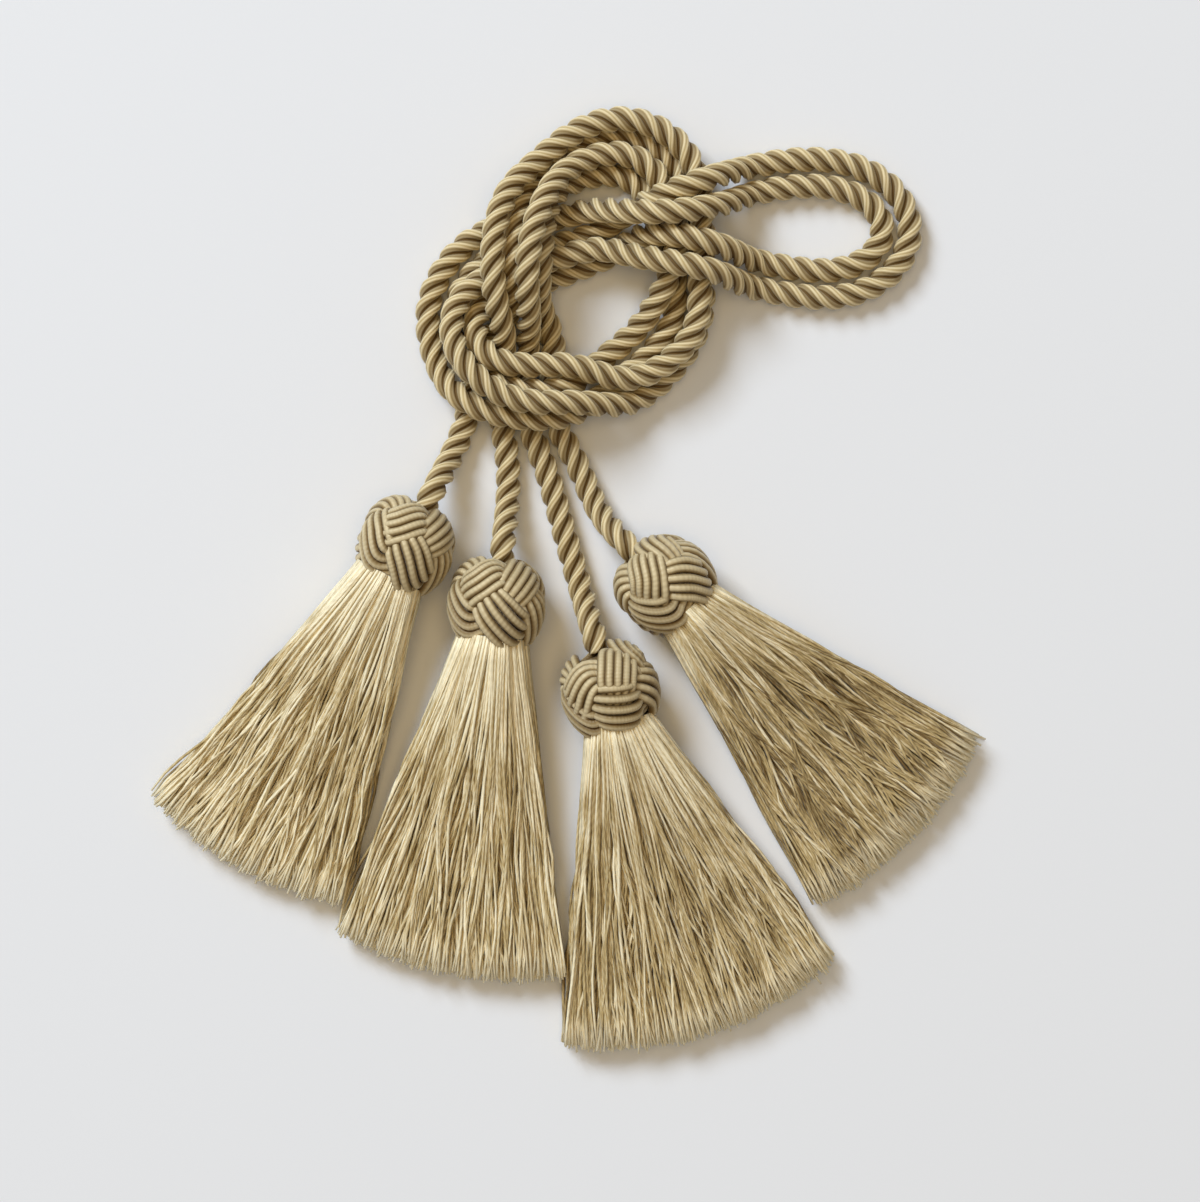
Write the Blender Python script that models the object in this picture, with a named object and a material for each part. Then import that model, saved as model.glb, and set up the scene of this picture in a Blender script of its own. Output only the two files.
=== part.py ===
# Curtain tieback: two twisted ropes with a tassel on each of their four ends, laid double and
# tied in one overhand knot that leaves a long hanging loop.
# Metres, +Z up. The tieback lies flat: the loop points to +X, the skirts fan out towards -Y.
import math
import random

import bmesh
import bpy
import numpy as np
from mathutils import Vector

MM = 0.001

# Driving dimensions, in millimetres
ROPE_DIAMETER = 7.0
ROPE_LAY = 17.0             # length of one full turn of the three strands
ROPE_STRANDS = 3
ROPE_STEPS = 6              # rings for each turn of the strands
STRAND_GROOVE = 0.68        # where the grooves between strands lie, as a share of the radius
ROPE_SPACING = 7.5          # centre to centre where ropes press on each other
FLOOR_CLEAR = 0.1           # the ropes lie this far over the floor
STRAIGHT_LEAD = 5.0         # how far a rope runs straight out of a head,
DROP_LEAD = 14.0            # where it has started to drop towards the floor,
DROP_SHARE = 0.68           # and its height there, as a share of the head's
HEAD_RADIUS = 13.3          # woven head at its widest, where no band passes over another
HEAD_HALF = 12.4            # woven head, from its middle to either flat end
HEAD_NECK_RISE = 13.4       # the head's neck half is an ellipsoid of this height,
HEAD_SKIRT_RISE = 17.6      # and its skirt half one of this, both cut flat at HEAD_HALF
HEAD_LIFT = 12.9            # height of a head's middle over the floor
HEAD_COLUMNS = 40
HEAD_ROWS = 15
NECK_HOLE = 4.4             # radius of the hollow that the rope's end sits in
NECK_HOLE_DEPTH = 2.2
WEAVE_BIGHTS = 5            # turning places of the band at either end of a head
WEAVE_MIDDLE = 8.5          # latitude that the band swings about, in degrees
WEAVE_REACH = 39.0          # how far it swings north and south of that
WEAVE_SAMPLES = 9           # points of the band from one crossing to the next
BAND_WIDTH = 10.2           # one woven band, four cords side by side
BAND_RISE = 0.9             # lift of a band where it passes over another
BAND_CROWN = 1.1            # fall from a band's middle to its edge
WEAVE_GAP_DEPTH = 2.2       # depth of the small gaps between the bands
REST_FLAT = 1.0             # what lies lower than this under a head is pressed flat
SKIRT_RADIUS = 10.2         # root of the skirt, where it leaves the head
COLLAR_LENGTH = 4.0
COLLAR_TAPER = 0.6          # the collar is this much narrower against the head
LOCK_COLUMNS = 20
LOCK_ROWS = 3
LOCK_DEPTH = 2.1            # thickness of one lock at the hem
LOCK_SWELL = 0.5            # share by which it is thicker at the root
LOCK_ROW_GAP = 0.5          # between one row of locks and the next at the hem
LOCK_FILL = 0.8             # share of its own column that a lock fills at the hem
LOCK_SLIM = 0.25            # its width at the root, as a share of that at the hem,
LOCK_TIP = 0.85             # and at its very tip
LOCK_KNEE = 0.42            # share of its length where it has come down towards the floor
LOCK_FALL = 2.2             # how steeply it comes down: a power of what is left of its length
LOCK_STAGGER = 0.25         # shift of a row sideways, as a share of a column
LOCK_SWAY = 0.25            # most that one lock strays from its even place, in degrees
LOCK_UNEVEN = 0.03          # most that one lock is shorter than the rest, as a share
LOCK_ROW_SHORTER = 0.02     # and each row than the row over it
GAP = 0.3                   # clearance between separate pieces

# How ropes that press on each other settle
SETTLE_STEP = 2.5           # from one point of a rope to the next
SETTLE_ROUNDS = 700
SETTLE_FREE = 0.8           # share of the rounds in which the ropes also sink and are drawn home
SETTLE_HELD = 3             # points at either end that stay where they are
SETTLE_PUSH = 0.8           # share of an overlap that one round takes away
SETTLE_SINK = 0.02
SETTLE_PULL = 0.01          # share of the way home that one round goes
SETTLE_STIFFNESS = 0.35     # how much of a change of bend one round takes away
SETTLE_NEAR = 1.6           # points within this many spacings are looked at
SETTLE_APART = 2.4          # along one rope, only points at least this many spacings apart

ROPE_RADIUS = ROPE_DIAMETER / 2
FLOOR_HEIGHT = ROPE_RADIUS + FLOOR_CLEAR      # a rope's middle where it lies on the floor

# One row for each tassel, left to right: the middle of its head, the way it points (degrees
# from -Y towards +X), the two edges of its fan measured from that, the length of the skirt at
# those edges, and the turn of the head's weave about its own axis.
TASSEL_COLUMNS = ("name", "x", "y", "points", "fan_left", "fan_right",
                  "long_left", "long_right", "weave_turn")
TASSELS = [dict(zip(TASSEL_COLUMNS, row)) for row in (
    ("tassel_1", -44.5, 64.7, -27.0, -20.0, 18.7, 89.0, 91.0, 12.0),
    ("tassel_2", -19.3, 48.7, -6.6, -21.5, 18.5, 91.0, 95.0, 0.0),
    ("tassel_3", 12.0, 24.6, 16.0, -26.2, 26.9, 90.0, 88.0, -6.0),
    ("tassel_4", 27.2, 53.8, 44.0, -20.5, 22.1, 88.5, 87.0, -51.0),
)]

# The bands of a head are pulled by hand, so some places of the weave lie off their even ones:
# crossings of its neck ring and skirt ring, and turns at the skirt end. Degrees east and north
# on the head, east from the top towards the tassel's right.
PLACE_COLUMNS = ("tassel", "ring", "index", "east", "north")
MOVED_PLACES = [dict(zip(PLACE_COLUMNS, row)) for row in (
    ("tassel_1", "neck", 4, -21, 17), ("tassel_1", "neck", 0, 46, 35),
    ("tassel_1", "skirt", 4, -51, -1), ("tassel_1", "skirt", 0, 12, -9),
    ("tassel_1", "turn", 0, 56, -33),
    ("tassel_2", "neck", 4, -31, 20), ("tassel_2", "neck", 0, 35, 30),
    ("tassel_2", "skirt", 4, -71, -7), ("tassel_2", "skirt", 0, 4, -13),
    ("tassel_2", "turn", 0, 52, -32),
    ("tassel_3", "neck", 4, -54, -1), ("tassel_3", "neck", 0, 15, 12),
    ("tassel_3", "neck", 1, 60, 38), ("tassel_3", "neck", 2, 150, 28),
    ("tassel_3", "skirt", 0, 3, -22), ("tassel_3", "skirt", 1, 78, -9),
    ("tassel_3", "turn", 0, 38, -23), ("tassel_3", "turn", 4, -35, -42),
    ("tassel_4", "neck", 0, -15, 14), ("tassel_4", "neck", 1, 40, 46),
    ("tassel_4", "neck", 2, 118, 28),
    ("tassel_4", "skirt", 0, -51, -14), ("tassel_4", "skirt", 1, 27, -13),
)]

# Each rope runs from one tassel to another. A row gives x and y in millimetres, and how many
# ropes lie beneath it there. Each half starts at its tassel's neck and ends at the loop's tip.
NECK_1_TO_LOOP = (
    (-28, 102, 0), (-25, 115, 0), (-20, 126, 0.7), (-16, 139, 1.6), (-14, 151, 1.6),
    (-9, 163, 0.8), (0, 174, 0), (10, 179, 0), (18, 179, 0), (27, 175, 0), (34, 165, 0),
    (37, 151, 0), (38, 136, 0), (37, 125, 0), (30, 115, 0.2), (18, 106, 1.2), (1, 104, 1.8),
    (-16, 106, 1.8), (-27, 116, 1.1), (-29, 127, 0.7), (-25, 136, 0.5), (-16, 141, 0.6),
    (-6, 145, 0.8), (4, 147, 1), (14, 147, 1.7), (24, 146, 1.9), (33, 143, 1.9), (43, 139, 1.2),
    (53, 137, 0.3), (63, 135, 0), (72, 134, 0), (81, 135, 0), (90, 140, 0), (95, 146, 0),
    (97, 153, 0),
)
NECK_2_TO_LOOP = (
    (-17, 98, 0), (-19, 115, 0), (-18, 130, 1.7), (-18, 140, 2.4), (-18, 151, 2.5),
    (-14, 162, 1.4), (-7, 170, 0.9), (0, 176, 0.9), (6, 181, 0.9), (15, 182, 0.9),
    (23, 181, 0.9), (29, 177, 0.9), (33, 172, 0.9), (37, 162, 0.9), (39, 150, 1), (39, 137, 1),
    (37, 125, 0.9), (28, 115, 0.9), (15, 110, 1), (0, 111, 1.1), (-13, 114, 1.3),
    (-21, 120, 0.9), (-23, 128, 0.3), (-18, 135, 0), (-10, 139, 0), (1, 144, 0), (11, 147, 0.8),
    (22, 149, 1.8), (33, 149, 1.9), (43, 146, 1.3), (53, 144, 0.4), (63, 143, 0), (72, 141, 0),
    (80, 143, 0), (88, 147, 0), (90, 153, 0),
)
NECK_3_TO_LOOP = (
    (-4, 80, 0), (-9, 99, 0), (-13, 115, 0), (-13, 128, 1.5), (-11, 137, 2.3), (-9, 147, 2.5),
    (-6, 158, 2), (-3, 165, 1.1), (3, 172, 0.9), (10, 175, 0.8), (18, 175, 0.8), (24, 171, 0.9),
    (27, 164, 1), (30, 151, 1), (29, 141, 1), (25, 127, 0.9), (15, 118, 0.4), (7, 112, 0.2),
    (-2, 108, 0.9), (-13, 107, 1), (-25, 115, 0.4), (-31, 126, 0), (-29, 135, 0), (-23, 141, 0),
    (-13, 147, 0), (0, 152, 0), (10, 155, 0.6), (21, 158, 1.6), (28, 160, 1.9), (35, 162, 1.9),
    (43, 166, 1.3), (53, 171, 0.4), (63, 172, 0), (72, 173, 0), (81, 171, 0), (90, 165, 0),
    (95, 160, 0), (97, 153, 0),
)
NECK_4_TO_LOOP = (
    (-1, 100, 0), (-6, 113, 0), (-12, 126, 1), (-9, 141, 1.6), (-6, 155, 1.2), (1, 165, 0.2),
    (10, 170, 0), (18, 169, 0), (25, 162, 0), (29, 150, 0), (31, 137, 0), (26, 125, 0),
    (17, 112, 0), (5, 104, 0.9), (-6, 101, 1), (-17, 101, 1), (-27, 104, 0.6), (-34, 114, 0.1),
    (-38, 126, 0), (-37, 135, 0), (-32, 142, 0.3), (-25, 147, 0.6), (-16, 151, 0.7),
    (-6, 154, 1), (3, 155, 1.5), (11, 157, 2.2), (21, 158, 2.6), (32, 159, 2.4), (43, 161, 1.3),
    (53, 164, 0.5), (63, 165, 0), (72, 165, 0), (80, 164, 0), (88, 159, 0), (90, 153, 0),
)
ROPES = (
    ("rope_a", TASSELS[2], NECK_3_TO_LOOP, TASSELS[0], NECK_1_TO_LOOP),
    ("rope_b", TASSELS[3], NECK_4_TO_LOOP, TASSELS[1], NECK_2_TO_LOOP),
)


def clear_scene():
    for thing in list(bpy.data.objects):
        bpy.data.objects.remove(thing, do_unlink=True)


def yarn_material(name, colour, roughness):
    material = bpy.data.materials.new(name)
    material.use_nodes = True
    shader = material.node_tree.nodes["Principled BSDF"]
    shader.inputs["Base Color"].default_value = (*colour, 1.0)
    shader.inputs["Roughness"].default_value = roughness
    shader.inputs["Metallic"].default_value = 0.0
    return material


def add_solid(name, points, faces, material):
    mesh = bpy.data.meshes.new(name)
    mesh.from_pydata([tuple(c * MM for c in p) for p in points], [], faces)
    shape = bmesh.new()
    shape.from_mesh(mesh)
    bmesh.ops.recalc_face_normals(shape, faces=shape.faces)
    shape.to_mesh(mesh)
    shape.free()
    mesh.shade_smooth()
    mesh.set_sharp_from_angle(angle=math.radians(50))
    mesh.materials.append(material)
    solid = bpy.data.objects.new(name, mesh)
    bpy.context.collection.objects.link(solid)
    return solid


def tassel_frame(tassel):
    """Middle of the head, the way the tassel points, and the way across it, in millimetres."""
    angle = math.radians(tassel["points"])
    middle = Vector((tassel["x"], tassel["y"], HEAD_LIFT))
    along = Vector((math.sin(angle), -math.cos(angle), 0.0))
    across = Vector((math.cos(angle), math.sin(angle), 0.0))
    return middle, along, across


# ---- ropes

def even_steps(points, step):
    """The same line with its points an equal step apart."""
    run = np.concatenate(([0.0], np.cumsum(np.linalg.norm(np.diff(points, axis=0), axis=1))))
    places = np.linspace(0.0, run[-1], int(round(run[-1] / step)) + 1)
    return np.stack([np.interp(places, run, points[:, k]) for k in range(3)], axis=1)


def smooth_curve(points, step):
    """A centripetal Catmull-Rom curve through the points, in equal steps."""
    ends = np.vstack((2 * points[0] - points[1], points, 2 * points[-1] - points[-2]))
    root = np.linalg.norm(np.diff(ends, axis=0), axis=1) ** 0.5
    t = np.linspace(0.0, 1.0, 24, endpoint=False)[:, None]
    parts = []
    for i in range(1, len(ends) - 2):
        before, here, after, beyond = ends[i - 1:i + 3]
        a, b, c = root[i - 1:i + 2]
        leave = ((here - before) / a - (after - before) / (a + b) + (after - here) / b) * b
        arrive = ((after - here) / b - (beyond - here) / (b + c) + (beyond - after) / c) * b
        parts.append(here * (2 * t**3 - 3 * t**2 + 1) + leave * (t**3 - 2 * t**2 + t)
                     + after * (3 * t**2 - 2 * t**3) + arrive * (t**3 - t**2))
    parts.append(points[-1:])
    return even_steps(np.vstack(parts), step)


def soften(moves, passes):
    for _ in range(passes):
        moves[1:-1] = (moves[:-2] + 2 * moves[1:-1] + moves[2:]) / 4
    return moves


def press_apart(lines):
    """Settles ropes that press on each other: each line's points move until they stand
    ROPE_SPACING from every other stretch of rope, lie on the floor or on what is beneath
    them, and stay near their own route. The ends stay where they are."""
    at = np.vstack(lines)
    home = at.copy()
    sizes = [len(line) for line in lines]
    starts = np.cumsum([0] + sizes)
    owner = np.repeat(np.arange(len(lines)), sizes)
    order = np.concatenate([np.arange(n) for n in sizes])
    apart = int(SETTLE_APART * ROPE_SPACING / SETTLE_STEP)
    for k in range(SETTLE_ROUNDS):
        if k % 20 == 0:
            gaps = np.linalg.norm(at[:, None] - at[None], axis=2)
            own = (owner[:, None] == owner) & (np.abs(order[:, None] - order) < apart)
            first, second = np.nonzero(np.triu((gaps < SETTLE_NEAR * ROPE_SPACING) & ~own))
        way = at[first] - at[second]
        reach = np.linalg.norm(way, axis=1)
        need = np.clip(ROPE_SPACING - reach, 0.0, None)
        push = 0.5 * way / reach[:, None] * need[:, None]
        moves = np.zeros_like(at)
        np.add.at(moves, first, push)
        np.add.at(moves, second, -push)
        touching = np.bincount(first, need > 0, len(at)) + np.bincount(second, need > 0, len(at))
        moves *= SETTLE_PUSH / np.maximum(touching, 1.0)[:, None] ** 0.5
        settling = k < SETTLE_FREE * SETTLE_ROUNDS
        if settling:
            moves[:, 2] -= SETTLE_SINK
            moves[:, :2] += SETTLE_PULL * (home - at)[:, :2]
        for start, end in zip(starts[:-1], starts[1:]):
            line = at[start:end]
            inner = slice(SETTLE_HELD, end - start - SETTLE_HELD)
            line[inner] += soften(moves[start:end], 4 if settling else 2)[inner]
            bend = np.zeros_like(line)
            bend[1:-1] = (line[:-2] + line[2:]) / 2 - line[1:-1]
            stiff = np.zeros_like(line)
            stiff[1:-1] = (bend[:-2] + bend[2:]) / 2 - bend[1:-1]
            line[inner] -= SETTLE_STIFFNESS * stiff[inner]
        at[:, 2] = np.maximum(at[:, 2], FLOOR_HEIGHT)
    return [at[start:end] for start, end in zip(starts[:-1], starts[1:])]


def neck_points(tassel):
    """The rope's end in its head's hollow, and the place where it has left the head."""
    middle, along, _ = tassel_frame(tassel)
    seat = middle - along * (HEAD_HALF - NECK_HOLE_DEPTH + GAP)
    free = seat - along * STRAIGHT_LEAD
    out = seat - along * DROP_LEAD
    return [tuple(seat), tuple(free), (out.x, out.y, DROP_SHARE * seat.z)]


def rope_route(start_tassel, start_half, end_tassel, end_half):
    """The whole route of one rope by hand, from neck to neck, in millimetres."""
    halves = []
    for tassel, rows in ((start_tassel, start_half), (end_tassel, end_half)):
        halves.append(neck_points(tassel)
                      + [(x, y, FLOOR_HEIGHT + beneath * ROPE_SPACING) for x, y, beneath in rows])
    return np.array(halves[0] + halves[1][-2::-1], dtype=float)


def laid_ropes():
    lines = [smooth_curve(rope_route(*ends), SETTLE_STEP) for _, *ends in ROPES]
    return [smooth_curve(line, ROPE_LAY / ROPE_STEPS) for line in press_apart(lines)]


def twisted_tube(line):
    """Rings of a three-lobed section that turn as they follow the line."""
    ways = np.gradient(line, axis=0)
    ways /= np.linalg.norm(ways, axis=1)[:, None]
    side = np.cross(ways[0], (0.0, 0.0, 1.0))
    corners = 2 * ROPE_STRANDS
    points = []
    for i, (place, way) in enumerate(zip(line, ways)):
        side = side - way * np.dot(side, way)
        side /= np.linalg.norm(side)
        up = np.cross(way, side)
        for k in range(corners):
            angle = math.tau * (k / corners + i / ROPE_STEPS)
            size = ROPE_RADIUS * (STRAND_GROOVE if k % 2 else 1.0)
            points.append(place + size * (math.cos(angle) * side + math.sin(angle) * up))
    faces = [tuple(range(corners))[::-1]]
    for i in range(len(line) - 1):
        for k in range(corners):
            a, b = i * corners + k, i * corners + (k + 1) % corners
            faces += [(a, b, b + corners), (a, b + corners, a + corners)]
    faces.append(tuple(range((len(line) - 1) * corners, len(line) * corners)))
    return points, faces


def make_ropes(material):
    for (name, *_), line in zip(ROPES, laid_ropes()):
        points, faces = twisted_tube(line)
        add_solid(name, points, faces, material)


# ---- woven heads

def head_profile(latitude):
    """Distance from the axis, and along it towards the neck, at a latitude in radians."""
    rise = np.where(latitude > 0, HEAD_NECK_RISE, HEAD_SKIRT_RISE)
    return HEAD_RADIUS * np.cos(latitude), rise * np.sin(latitude)


def head_place(latitude, longitude):
    """The place on the plain head, from its middle: across, up and towards the neck."""
    distance, height = head_profile(latitude)
    return np.stack((distance * np.sin(longitude), distance * np.cos(longitude), height), -1)


def weave_places(tassel):
    """Where the band crosses itself and where it turns, in order along the band: degrees east
    and north. It goes three times round the head and swings between the head's ends."""
    moved = {(row["ring"], row["index"]): (row["east"], row["north"])
             for row in MOVED_PLACES if row["tassel"] == tassel["name"]}
    between = 180.0 / WEAVE_BIGHTS
    half = WEAVE_REACH / 2

    def crossing(ring, index):
        index %= WEAVE_BIGHTS
        steps, side = (2 * index + 1, half) if ring == "neck" else (2 * index, -half)
        even = (tassel["weave_turn"] + between * steps, WEAVE_MIDDLE + side)
        return moved.get((ring, index), even)

    def turning(ring, index, side):
        (east_0, north_0), (east_1, north_1) = crossing(ring, index), crossing(ring, index + 1)
        away = (east_1 - east_0 + 180) % 360 - 180
        return east_0 + away / 2, (north_0 + north_1) / 2 + side

    places = []
    for k in range(0, 6 * WEAVE_BIGHTS, 6):
        down, up = k // 2, k // 2 + 2
        turn = (down + 1) % WEAVE_BIGHTS
        places += [turning("neck", down - 1, half), crossing("neck", down),
                   crossing("skirt", down + 1),
                   moved.get(("turn", turn), turning("skirt", turn, -half)),
                   crossing("skirt", up), crossing("neck", up)]
    return places


def weave_course(tassel):
    """The band's closed middle line on the head, and its lift there, over and under by turns."""
    knots = np.radians(np.array(weave_places(tassel), dtype=float))
    east, north = knots[:, 0], knots[:, 1]
    knots = np.stack((np.cos(north) * np.sin(east), np.cos(north) * np.cos(east), np.sin(north)), -1)
    t = np.linspace(0.0, 1.0, WEAVE_SAMPLES, endpoint=False)[:, None]
    parts = []
    for k in range(len(knots)):
        before, here, after, beyond = (knots[(k + j) % len(knots)] for j in (-1, 0, 1, 2))
        parts.append(here + 0.5 * ((after - before) * t
                                   + (2 * before - 5 * here + 4 * after - beyond) * t**2
                                   + (3 * here - before - 3 * after + beyond) * t**3))
    line = np.vstack(parts)
    line /= np.linalg.norm(line, axis=1)[:, None]
    swing = np.arange(len(line)) / WEAVE_SAMPLES * math.pi / 3
    latitude = np.arcsin(line[:, 2])
    longitude = np.arctan2(line[:, 0], line[:, 1])
    return head_place(latitude, longitude), BAND_RISE * -np.sin(2 * swing)


def weave_height(place, course, lift):
    """How far the weave stands out at a place on the head: the highest band there."""
    away = np.linalg.norm(course - place, axis=1) / (BAND_WIDTH / 2)
    crown = BAND_CROWN * (np.sqrt(np.clip(1 - away ** 4, 0.0, 1.0)) - 1)
    return float(np.where(away < 1, lift + crown, -WEAVE_GAP_DEPTH).max())


def woven_head(tassel):
    """A closed barrel: flat where the skirt starts, a hollow for the rope at the neck, the
    woven bands in relief, and a small flat where it rests on the floor."""
    middle, along, across = tassel_frame(tassel)
    course, lift = weave_course(tassel)
    columns = HEAD_COLUMNS
    points, faces = [], []

    def ring(distance, height, relief):
        for k in range(columns):
            angle = math.tau * k / columns
            out = distance + relief[k]
            spot = (middle - along * height + across * out * math.sin(angle)
                    + Vector((0, 0, out * math.cos(angle))))
            on_floor = middle.z + distance * math.cos(angle) < REST_FLAT
            points.append((spot.x, spot.y, 0.0 if on_floor else max(spot.z, 0.0)))

    south = -math.asin(HEAD_HALF / HEAD_SKIRT_RISE)
    north = math.asin(HEAD_HALF / HEAD_NECK_RISE)
    level = [0.0] * columns
    for i in range(HEAD_ROWS):
        lat = south + (north - south) * i / (HEAD_ROWS - 1)
        distance, height = head_profile(lat)
        relief = [weave_height(head_place(lat, math.tau * k / columns), course, lift)
                  for k in range(columns)]
        ring(float(distance), float(height), relief)
    ring(NECK_HOLE, HEAD_HALF, level)
    ring(NECK_HOLE, HEAD_HALF - NECK_HOLE_DEPTH, level)
    rings = len(points) // columns
    faces.append(tuple(range(columns)))
    for i in range(rings - 1):
        for k in range(columns):
            a, b = i * columns + k, i * columns + (k + 1) % columns
            faces.append((a, a + columns, b + columns, b))
    faces.append(tuple(range((rings - 1) * columns, rings * columns)))
    return points, faces


# ---- skirts

def disc_place(u, v):
    """A square's place (-1 to 1 each way) moved onto a round section of radius 1."""
    return u * math.sqrt(1 - v * v / 2), v * math.sqrt(1 - u * u / 2)


def skirt(tassel, random_source):
    """A round collar with a fan of locks that grow from its end face. Each lock starts on
    its own cell of the face, and from there on stands apart."""
    middle, along, across = tassel_frame(tassel)
    root = middle + along * (HEAD_HALF + GAP)
    up = Vector((0, 0, 1))
    points, faces = [], []

    def add(point):
        points.append((point.x, point.y, max(point.z, 0.0)))
        return len(points) - 1

    def on_section(u, v, height, size):
        x, z = disc_place(u, v)
        return root + along * height + (across * x + up * z) * size

    edges_u = [2 * c / LOCK_COLUMNS - 1 for c in range(LOCK_COLUMNS + 1)]
    edges_v = [2 * r / LOCK_ROWS - 1 for r in range(LOCK_ROWS + 1)]
    front = {(c, r): add(on_section(u, v, COLLAR_LENGTH, SKIRT_RADIUS))
             for c, u in enumerate(edges_u) for r, v in enumerate(edges_v)}
    border = ([(c, 0) for c in range(LOCK_COLUMNS)]
              + [(LOCK_COLUMNS, r) for r in range(LOCK_ROWS)]
              + [(c, LOCK_ROWS) for c in range(LOCK_COLUMNS, 0, -1)]
              + [(0, r) for r in range(LOCK_ROWS, 0, -1)])
    back = {at: add(on_section(edges_u[at[0]], edges_v[at[1]], 0.0, SKIRT_RADIUS - COLLAR_TAPER))
            for at in border}
    faces.append(tuple(back[at] for at in border))
    for here, after in zip(border, border[1:] + border[:1]):
        faces.append((back[here], front[here], front[after], back[after]))

    fan = tassel["fan_right"] - tassel["fan_left"]
    longer = tassel["long_right"] - tassel["long_left"]
    for c in range(LOCK_COLUMNS):
        for r in range(LOCK_ROWS):
            u = (edges_u[c] + edges_u[c + 1]) / 2 + (r - 1) * LOCK_STAGGER / LOCK_COLUMNS
            share = (u + 1) / 2
            turn = math.radians(tassel["fan_left"] + fan * share
                                + random_source.uniform(-LOCK_SWAY, LOCK_SWAY))
            length = tassel["long_left"] + longer * share
            length *= 1 - LOCK_UNEVEN * random_source.random() - LOCK_ROW_SHORTER * (LOCK_ROWS - 1 - r)
            half_hem = LOCK_FILL * length * math.radians(fan) / LOCK_COLUMNS / 2
            start = on_section(u, (edges_v[r] + edges_v[r + 1]) / 2, COLLAR_LENGTH, SKIRT_RADIUS)
            end = root + along * length * math.cos(turn) + across * length * math.sin(turn)
            end.z = LOCK_DEPTH / 2 + (LOCK_DEPTH + LOCK_ROW_GAP) * r
            last = [front[c, r], front[c + 1, r], front[c + 1, r + 1], front[c, r + 1]]
            for gone, tip in ((LOCK_KNEE, 1.0), (1.0, LOCK_TIP)):
                place = start.lerp(end, gone)
                place.z = end.z + (start.z - end.z) * (1 - gone) ** LOCK_FALL
                half_u = half_hem * (LOCK_SLIM + (1 - LOCK_SLIM) * gone) * tip
                half_v = LOCK_DEPTH / 2 * (1.0 + LOCK_SWELL * (1 - gone))
                ring = [add(place - across * half_u - up * half_v),
                        add(place + across * half_u - up * half_v),
                        add(place + across * half_u + up * half_v),
                        add(place - across * half_u + up * half_v)]
                for k in range(4):
                    n = (k + 1) % 4
                    faces.append((last[k], last[n], ring[n], ring[k])[::-1])
                last = ring
            faces.append(tuple(last)[::-1])
    return points, faces


def main():
    clear_scene()
    rope_yarn = yarn_material("rope_yarn", (0.44, 0.33, 0.16), 0.45)
    head_yarn = yarn_material("head_yarn", (0.42, 0.31, 0.15), 0.5)
    skirt_yarn = yarn_material("skirt_yarn", (0.50, 0.40, 0.22), 0.4)
    make_ropes(rope_yarn)
    for number, tassel in enumerate(TASSELS, start=1):
        points, faces = woven_head(tassel)
        add_solid(f"head_{number}", points, faces, head_yarn)
        points, faces = skirt(tassel, random.Random(number))
        add_solid(f"skirt_{number}", points, faces, skirt_yarn)


main()
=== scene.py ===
import math

import bpy
import numpy as np
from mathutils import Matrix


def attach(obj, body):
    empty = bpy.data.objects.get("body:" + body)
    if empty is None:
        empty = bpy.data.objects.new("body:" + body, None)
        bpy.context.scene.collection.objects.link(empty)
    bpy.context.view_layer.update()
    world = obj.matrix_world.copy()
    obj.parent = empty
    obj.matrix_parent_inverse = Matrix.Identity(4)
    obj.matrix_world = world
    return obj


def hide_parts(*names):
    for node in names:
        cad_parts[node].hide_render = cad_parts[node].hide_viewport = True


mm = 0.001
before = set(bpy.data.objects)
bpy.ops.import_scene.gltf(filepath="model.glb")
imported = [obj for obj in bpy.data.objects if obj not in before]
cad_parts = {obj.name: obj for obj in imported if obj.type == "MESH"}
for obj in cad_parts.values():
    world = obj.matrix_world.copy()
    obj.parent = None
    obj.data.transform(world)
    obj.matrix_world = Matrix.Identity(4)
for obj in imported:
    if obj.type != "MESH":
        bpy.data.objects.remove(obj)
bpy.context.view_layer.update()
print("frame loaded")

# The tieback lies flat: the loop points to +X and the skirts fan out towards -Y.

floorGap = 0.05 * mm                  # no thread or yarn reaches lower
yarnGlint = (1.0, 0.84, 0.60)         # the tint of every yarn's gloss

cameraSettings = {
    "over": (9.5 * mm, 48.7 * mm),    # the place on the floor under the lens
    "aimHeight": 9.0 * mm,            # the height at which the view is viewWidth wide
    "viewWidth": 336.3 * mm,
    "distance": 1.15,
    "sensor": 36.0,
    "clip": (0.05, 10.0),
}


def addCamera(settings):
    lens = bpy.data.cameras.new("camera")
    lens.sensor_width = settings["sensor"]
    lens.lens = settings["sensor"] * settings["distance"] / settings["viewWidth"]
    lens.clip_start, lens.clip_end = settings["clip"]
    camera = bpy.data.objects.new("camera", lens)
    camera.location = (*settings["over"], settings["aimHeight"] + settings["distance"])
    bpy.context.collection.objects.link(camera)
    bpy.context.scene.camera = camera


# The four tassels, left to right: the middle of the head, the way it points in degrees from
# -Y towards +X, the two edges of its fan measured from that, and the skirt's length there.
headLift = 12.9 * mm
tassels = [
    {"middle": (-44.5 * mm, 64.7 * mm), "points": -27.0, "fan": (-20.0, 18.7),
     "long": (89.0 * mm, 91.0 * mm)},
    {"middle": (-19.3 * mm, 48.7 * mm), "points": -6.6, "fan": (-21.5, 18.5),
     "long": (91.0 * mm, 95.0 * mm)},
    {"middle": (12.0 * mm, 24.6 * mm), "points": 16.0, "fan": (-26.2, 26.9),
     "long": (90.0 * mm, 88.0 * mm)},
    {"middle": (27.2 * mm, 53.8 * mm), "points": 44.0, "fan": (-20.5, 22.1),
     "long": (88.5 * mm, 87.0 * mm)},
]


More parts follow.
